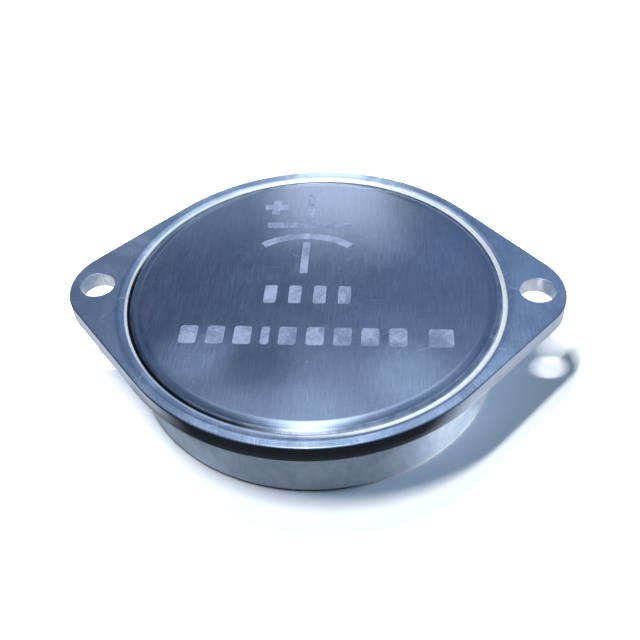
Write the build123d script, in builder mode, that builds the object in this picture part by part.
from build123d import *

import os
from math import asin, degrees

# Flange-mounted button tantalum capacitor, in millimetres.
#
# The case is a shallow drawn cup that stands on its open end. The origin is the middle of
# that open end, +Z points out of the closed end, and the two fixing holes lie along X.
# A flat two-eared flange is welded round the neck of the cup, level with its closed end.
# The open end is shut by a dished lid with a glass-to-metal seal and two short pins, which
# stay within the dish. Between lid and closed end lies the electrode pack: two sintered
# anodes on one riser wire, with cathode foils and separators above, between and below them.

# --- Driving dimensions ------------------------------------------------------------------

# Case
case_diameter = 37.0
case_height = 8.55
case_wall = 0.5
case_end = 0.5                  # thickness of the closed end
case_inner_corner = 0.6         # flat across the corner inside the closed end
neck_step = 0.2                 # the neck, inside the flange, is this much smaller in radius
shoulder_width = 1.15           # from the flat of the closed end out to the groove
rim_break = 0.12                # chamfer on both edges of the open end

# Mounting flange
flange_thickness = 1.72
flange_step = 0.05              # the closed end stands this far above the flange
flange_margin = 1.74            # outline round the case, beyond its wall
hole_offset = 3.5               # centre of a fixing hole, beyond the case's wall
hole_diameter = 3.5
ear_radius = 6.14
ear_setback = 3.39              # centre of an ear's arc, inboard of its hole
flange_fit = 0.02               # radial gap round the neck
roll_width = 1.1                # rounded inner rim of the flange, seen from above
groove_depth = 0.33             # below the flange's upper face
groove_inset = 0.13             # the bottom of the groove, inside the case's wall
flange_edge = 0.15              # die roll along the outline's upper edge
seam_reach = 0.3                # the weld's edges, out from the bottom of the groove
seam_depth = 0.45               # the weld's root, below the bottom of the groove

# Lid
lid_depth = 2.5                 # from the rim of the case up to the lid's outer face
lid_thickness = 0.45
lid_bevel = 0.7                 # where the lid turns down into its skirt
lid_fit = 0.02                  # radial gap inside the case
lid_inset = 0.25                # end of the skirt, up from the rim of the case
closure_leg = 0.36              # radial leg of the closure weld
closure_height = 0.2
fill_hole_diameter = 1.6
plug_head_diameter = 2.6
plug_head_height = 0.3
plug_bevel = 0.12
plug_fit = 0.02
terminal_pitch = 10.0           # from the seal out to the negative pin, and to the plug

# Glass-to-metal seal and terminals
ferrule_diameter = 5.0
ferrule_wall = 0.6
ferrule_lip_diameter = 6.2
ferrule_lip_height = 0.25
ferrule_outer_reach = 0.4       # below the lid's outer face
ferrule_inner_reach = 0.35      # above the lid's inner face
ferrule_fit = 0.02
glass_inset = 0.1               # glass ends this far inside the ferrule's ends
glass_meniscus = 0.12
tube_diameter = 1.4
tube_bore = 0.68
tube_outer_reach = 0.9          # below the lid's outer face
tube_inner_reach = 0.15         # above the ferrule's inner end
pin_diameter = 1.0
pin_clearance = 0.4             # from the pins' ends up to the surface the case stands on
pin_tip = 0.15
nail_head_diameter = 2.4
nail_head_height = 0.3
riser_diameter = 0.6
riser_fit = 0.02

# Electrode pack
pack_clearance = 0.5            # radial, inside the case
insulator_thickness = 0.35
foil_thickness = 0.15
separator_thickness = 0.1
cradle_wall = 0.5
anode_gap = 0.1                 # radial, inside the cradle
anode_edge = 0.3
riser_depth = 1.2               # riser wire's length inside the upper anode
bushing_diameter = 4.8
bushing_gap = 0.05
cathode_relief = 0.6            # lower foil's edge, clear of the seal's bushing
upper_foil_margin = 0.1         # upper foil, in from the case's inner corner
tab_width = 4.0
tab_height = 1.5
tab_gap = 0.02
lower_tab_angle = 0.0
middle_tab_angle = 180.0

# --- Sizes that follow -------------------------------------------------------------------

case_radius = case_diameter / 2
case_bore_radius = case_radius - case_wall
case_ceiling = case_height - case_end

neck_radius = case_radius - neck_step

flange_top = case_height - flange_step
flange_bottom = flange_top - flange_thickness
flange_bore_radius = neck_radius + flange_fit
groove_bottom = flange_top - groove_depth
groove_radius = case_radius - groove_inset
hole_x = case_radius + hole_offset
ear_x = hole_x - ear_setback

# Shoulder and roll are arcs that would meet at the bottom of the groove. Each stops short
# of it, where the weld begins.
shoulder_drop = flange_step + groove_depth
shoulder_radius = (shoulder_width**2 + shoulder_drop**2) / (2 * shoulder_drop)
shoulder_angle = degrees(asin((shoulder_width - seam_reach) / shoulder_radius))
roll_radius = (roll_width**2 + groove_depth**2) / (2 * groove_depth)
roll_angle = degrees(asin((roll_width - seam_reach) / roll_radius))
seam_root = (neck_radius, groove_bottom - seam_depth)

skirt_radius = case_bore_radius - lid_fit
lid_outer = lid_depth
lid_inner = lid_depth + lid_thickness
ferrule_radius = ferrule_diameter / 2
ferrule_bore_radius = ferrule_radius - ferrule_wall
ferrule_low = lid_outer - ferrule_outer_reach
ferrule_high = lid_inner + ferrule_inner_reach
tube_radius = tube_diameter / 2
tube_low = lid_outer - tube_outer_reach
tube_high = ferrule_high + tube_inner_reach
riser_radius = riser_diameter / 2
riser_hole_radius = riser_radius + riser_fit
pin_radius = pin_diameter / 2
fill_hole_radius = fill_hole_diameter / 2

pack_radius = case_bore_radius - pack_clearance
cradle_bore_radius = pack_radius - cradle_wall
anode_radius = cradle_bore_radius - anode_gap
bushing_radius = bushing_diameter / 2
bushing_hole_radius = bushing_radius + bushing_gap
upper_foil_radius = case_bore_radius - case_inner_corner - upper_foil_margin
tab_outer_radius = case_bore_radius - tab_gap

# The pack fills the height between lid and closed end. The two anodes share what the
# insulator, the three foils and the four separators leave of it.
pack_height = case_ceiling - lid_inner
anode_height = (pack_height - insulator_thickness - 3 * foil_thickness - 4 * separator_thickness) / 2
lower_foil_z = lid_inner + insulator_thickness
separator_1_z = lower_foil_z + foil_thickness
lower_anode_z = separator_1_z + separator_thickness
separator_2_z = lower_anode_z + anode_height
middle_foil_z = separator_2_z + separator_thickness
separator_3_z = middle_foil_z + foil_thickness
upper_anode_z = separator_3_z + separator_thickness
separator_4_z = upper_anode_z + anode_height
upper_foil_z = separator_4_z + separator_thickness

os.makedirs("parts", exist_ok=True)


def save(builder, name):
    """Labels a finished piece and writes it under its own name."""
    builder.part.label = name
    export_step(builder.part, f"parts/{name}.step")


# --- Case --------------------------------------------------------------------------------

# Drawn cup, closed end up. The shoulder is a shallow arc that leaves the flat of the end
# smoothly and runs down into the groove. Below the weld the neck is turned down, and it
# widens to the wall over a conical seat that carries and centres the flange.
with BuildPart() as case_shell:
    with BuildSketch(Plane.XZ):
        with BuildLine():
            flat_end = Line((0, case_height), (groove_radius - shoulder_width, case_height))
            shoulder = JernArc(flat_end @ 1, (1, 0), shoulder_radius, -shoulder_angle)
            Polyline(
                shoulder @ 1,
                seam_root,
                (neck_radius, flange_bottom + flange_fit + neck_step),
                (case_radius, flange_bottom + flange_fit),
                (case_radius, rim_break),
                (case_radius - rim_break, 0),
                (case_bore_radius + rim_break, 0),
                (case_bore_radius, rim_break),
                (case_bore_radius, case_ceiling - case_inner_corner),
                (case_bore_radius - case_inner_corner, case_ceiling),
                (0, case_ceiling),
                flat_end @ 0,
            )
        make_face()
    revolve(axis=Axis.Z)
save(case_shell, "case_shell")


# --- Mounting flange ---------------------------------------------------------------------

# Stamped plate: the outline is the hull of the waist circle and the two ear circles. Its
# inner rim is rolled down to the groove, tangent to the upper face, and countersunk below
# to sit on the conical seat of the case.
with BuildPart() as mounting_flange:
    with BuildSketch(Plane.XY.offset(flange_bottom)):
        Circle(case_radius + flange_margin)
        with Locations((ear_x, 0), (-ear_x, 0)):
            Circle(ear_radius)
        make_hull()
    extrude(amount=flange_thickness)
    fillet(mounting_flange.edges().group_by(Axis.Z)[-1], flange_edge)
    with BuildSketch(Plane.XY.offset(flange_bottom)):
        with Locations((hole_x, 0), (-hole_x, 0)):
            Circle(hole_diameter / 2)
    extrude(amount=flange_thickness, mode=Mode.SUBTRACT)
    with BuildSketch(Plane.XZ):
        with BuildLine():
            Polyline(
                (0, flange_bottom),
                (case_radius + flange_fit, flange_bottom),
                (flange_bore_radius, flange_bottom + neck_step),
                (flange_bore_radius, flange_top),
                (0, flange_top),
                close=True,
            )
        make_face()
        with BuildLine():
            roll = JernArc((groove_radius + roll_width, flange_top), (-1, 0), roll_radius, roll_angle)
            Polyline(roll @ 1, seam_root, (neck_radius, flange_top), roll @ 0)
        make_face()
    revolve(axis=Axis.Z, mode=Mode.SUBTRACT)
save(mounting_flange, "mounting_flange")

# Weld between shoulder and roll. Its face keeps the V of the groove, and its root lies
# where the flange's bore and the neck meet.
with BuildPart() as flange_weld:
    with BuildSketch(Plane.XZ):
        with BuildLine():
            Polyline(shoulder @ 1, seam_root, roll @ 1, (groove_radius, groove_bottom), close=True)
        make_face()
    revolve(axis=Axis.Z)
save(flange_weld, "flange_weld")


# --- Lid and closure ---------------------------------------------------------------------

# Dished lid with its skirt turned down inside the case's mouth.
with BuildPart() as header_lid:
    with BuildSketch(Plane.XY.offset(lid_inset)):
        Circle(skirt_radius)
    extrude(amount=lid_inner - lid_inset)
    chamfer(header_lid.edges().group_by(Axis.Z)[-1], lid_bevel)
    offset(amount=-lid_thickness, openings=header_lid.faces().sort_by(Axis.Z)[0])
    with BuildSketch(Plane.XY.offset(lid_outer)):
        Circle(ferrule_radius + ferrule_fit)
        with Locations((-terminal_pitch, 0)):
            Circle(fill_hole_radius)
    extrude(amount=lid_thickness, mode=Mode.SUBTRACT)
save(header_lid, "header_lid")

# Fillet of weld between the end of the skirt and the wall of the case.
with BuildPart() as closure_weld:
    with BuildSketch(Plane.XZ):
        with BuildLine():
            Polyline(
                (case_bore_radius, lid_inset - closure_height),
                (case_bore_radius, lid_inset),
                (case_bore_radius - closure_leg, lid_inset),
                close=True,
            )
        make_face()
    revolve(axis=Axis.Z)
save(closure_weld, "closure_weld")

# Plug of the filling hole: a shank through the lid and a bevelled head outside it.
with BuildPart() as fill_plug:
    with BuildSketch(Plane((-terminal_pitch, 0, lid_outer - plug_head_height))):
        Circle(plug_head_diameter / 2)
    extrude(amount=plug_head_height)
    chamfer(fill_plug.edges().group_by(Axis.Z)[0], plug_bevel)
    with BuildSketch(Plane((-terminal_pitch, 0, lid_outer))):
        Circle(fill_hole_radius - plug_fit)
    extrude(amount=lid_thickness)
save(fill_plug, "fill_plug")


# --- Glass-to-metal seal and terminals ---------------------------------------------------

with BuildPart() as seal_ferrule:
    with BuildSketch(Plane.XZ):
        with BuildLine():
            Polyline(
                (ferrule_bore_radius, ferrule_low),
                (ferrule_radius, ferrule_low),
                (ferrule_radius, lid_outer - ferrule_lip_height),
                (ferrule_lip_diameter / 2, lid_outer - ferrule_lip_height),
                (ferrule_lip_diameter / 2, lid_outer),
                (ferrule_radius, lid_outer),
                (ferrule_radius, ferrule_high),
                (ferrule_bore_radius, ferrule_high),
                close=True,
            )
        make_face()
    revolve(axis=Axis.Z)
save(seal_ferrule, "seal_ferrule")

# Glass bead, fused to ferrule and tube, with a hollow meniscus at each end.
with BuildPart() as glass_seal:
    glass_low = ferrule_low + glass_inset
    glass_high = ferrule_high - glass_inset
    with BuildSketch(Plane.XZ):
        with BuildLine():
            lower = SagittaArc((tube_radius, glass_low), (ferrule_bore_radius, glass_low), glass_meniscus)
            upper = SagittaArc((tube_radius, glass_high), (ferrule_bore_radius, glass_high), -glass_meniscus)
            Line(lower @ 0, upper @ 0)
            Line(lower @ 1, upper @ 1)
        make_face()
    revolve(axis=Axis.Z)
save(glass_seal, "glass_seal")

with BuildPart() as riser_tube:
    with BuildSketch(Plane.XY.offset(tube_low)):
        Circle(tube_radius)
        Circle(tube_bore / 2, mode=Mode.SUBTRACT)
    extrude(amount=tube_high - tube_low)
save(riser_tube, "riser_tube")

# Riser wire, from the tube's outer end up into the upper anode.
with BuildPart() as riser_wire:
    with BuildSketch(Plane.XY.offset(tube_low)):
        Circle(riser_radius)
    extrude(amount=upper_anode_z + riser_depth - tube_low)
save(riser_wire, "riser_wire")

# Positive pin, butt-welded to the outer end of the tube and its wire.
with BuildPart() as positive_pin:
    with BuildSketch(Plane.XY.offset(pin_clearance)):
        Circle(pin_radius)
    extrude(amount=tube_low - pin_clearance)
    chamfer(positive_pin.edges().group_by(Axis.Z)[0], pin_tip)
save(positive_pin, "positive_pin")

# Negative pin, with a nail head welded flat on the lid.
with BuildPart() as negative_pin:
    with BuildSketch(Plane((terminal_pitch, 0, pin_clearance))):
        Circle(pin_radius)
    extrude(amount=lid_outer - pin_clearance)
    chamfer(negative_pin.edges().group_by(Axis.Z)[0], pin_tip)
    with BuildSketch(Plane((terminal_pitch, 0, lid_outer - nail_head_height))):
        Circle(nail_head_diameter / 2)
    extrude(amount=nail_head_height)
save(negative_pin, "negative_pin")


# --- Electrode pack ----------------------------------------------------------------------


def ring(z, height, outer_radius, inner_radius=0.0):
    """A flat disc or ring of the pack, lying at height z."""
    with BuildPart() as piece:
        with BuildSketch(Plane.XY.offset(z)):
            Circle(outer_radius)
            if inner_radius > 0:
                Circle(inner_radius, mode=Mode.SUBTRACT)
        extrude(amount=height)
    return piece


def tabbed_foil(z, hole_radius, tab_angle):
    """A cathode foil whose tab is bent up along the wall of the case."""
    with BuildPart() as piece:
        with BuildSketch(Plane.XY.offset(z)):
            Circle(tab_outer_radius)
            with PolarLocations(tab_outer_radius / 2, 1, tab_angle):
                Rectangle(tab_outer_radius, tab_width, mode=Mode.INTERSECT)
            Circle(pack_radius)
            Circle(hole_radius, mode=Mode.SUBTRACT)
        extrude(amount=foil_thickness)
        with BuildSketch(Plane.XY.offset(z)):
            Circle(tab_outer_radius)
            with PolarLocations(tab_outer_radius / 2, 1, tab_angle):
                Rectangle(tab_outer_radius, tab_width, mode=Mode.INTERSECT)
            Circle(tab_outer_radius - foil_thickness, mode=Mode.SUBTRACT)
        extrude(amount=tab_height)
    return piece


# PTFE disc over the lid, open round the ferrule.
header_insulator = ring(lid_inner, insulator_thickness, pack_radius, ferrule_radius + bushing_gap)
save(header_insulator, "header_insulator")

# PTFE bushings, which keep the riser wire off the foils.
riser_bushing = ring(ferrule_high, lower_anode_z - ferrule_high, bushing_radius, tube_radius + riser_fit)
save(riser_bushing, "riser_bushing")
middle_bushing = ring(separator_2_z, upper_anode_z - separator_2_z, bushing_radius, riser_hole_radius)
save(middle_bushing, "middle_bushing")

# Cathode foils. The upper one is welded flat to the closed end and needs no tab.
lower_cathode = tabbed_foil(lower_foil_z, bushing_radius + cathode_relief, lower_tab_angle)
save(lower_cathode, "lower_cathode")
middle_cathode = tabbed_foil(middle_foil_z, bushing_hole_radius, middle_tab_angle)
save(middle_cathode, "middle_cathode")
upper_cathode = ring(upper_foil_z, foil_thickness, upper_foil_radius)
save(upper_cathode, "upper_cathode")

# Separators, numbered upwards. All but the top one are open round a bushing.
separator_heights = (separator_1_z, separator_2_z, separator_3_z, separator_4_z)
separator_holes = (bushing_hole_radius, bushing_hole_radius, bushing_hole_radius, 0.0)
for number, (z, hole) in enumerate(zip(separator_heights, separator_holes), start=1):
    save(ring(z, separator_thickness, pack_radius, hole), f"separator_{number}")

# PTFE cradles round the anodes.
for name, z in (("lower_cradle", lower_anode_z), ("upper_cradle", upper_anode_z)):
    save(ring(z, anode_height, pack_radius, cradle_bore_radius), name)

# Sintered anodes. The riser wire passes through the lower one and ends inside the upper.
with BuildPart() as lower_anode:
    with BuildSketch(Plane.XY.offset(lower_anode_z)):
        Circle(anode_radius)
    extrude(amount=anode_height)
    chamfer(lower_anode.edges().filter_by(GeomType.CIRCLE), anode_edge)
    with BuildSketch(Plane.XY.offset(lower_anode_z)):
        Circle(riser_hole_radius)
    extrude(amount=anode_height, mode=Mode.SUBTRACT)
save(lower_anode, "lower_anode")

with BuildPart() as upper_anode:
    with BuildSketch(Plane.XY.offset(upper_anode_z)):
        Circle(anode_radius)
    extrude(amount=anode_height)
    chamfer(upper_anode.edges().filter_by(GeomType.CIRCLE), anode_edge)
    with BuildSketch(Plane.XY.offset(upper_anode_z)):
        Circle(riser_hole_radius)
    extrude(amount=riser_depth + riser_fit, mode=Mode.SUBTRACT)
save(upper_anode, "upper_anode")
